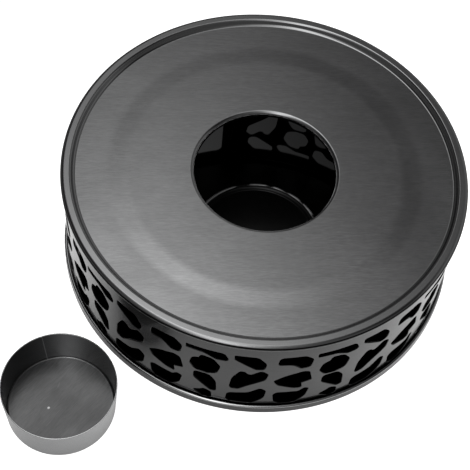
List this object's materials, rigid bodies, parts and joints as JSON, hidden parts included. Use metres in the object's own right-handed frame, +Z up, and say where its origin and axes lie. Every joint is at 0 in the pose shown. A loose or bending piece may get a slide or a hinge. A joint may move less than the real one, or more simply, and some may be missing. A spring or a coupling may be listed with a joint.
{
  "type": "teapot warmer",
  "caption": "Round metal teapot warmer: pebble-pierced drum, pressed cover with a flame hole, shallow tray and a separate candle cup.",
  "frame": {"origin": "on the drum's axis at the table plane, in the underside of the tray", "axes": "+Z up along the drum's axis, +Y towards the doorway for the candle cup, +X to the right of someone who stands at -Y"},
  "size_m": [0.1971, 0.1514, 0.05],
  "materials": {
    "cover_sheet": "fine straight brushed grain",
    "wall_sheet": "semi-bright, lightly drawn grain along the strip",
    "tray_sheet": "bright, with a mirror-like floor",
    "cup_sheet": "satin, fine grain on the floor"
  },
  "bodies": {
    "root": {"cover": "cover_sheet", "perforated_wall": "wall_sheet", "base_tray": "tray_sheet", "candle_cup": "cup_sheet"}
  },
  "joints": []
}
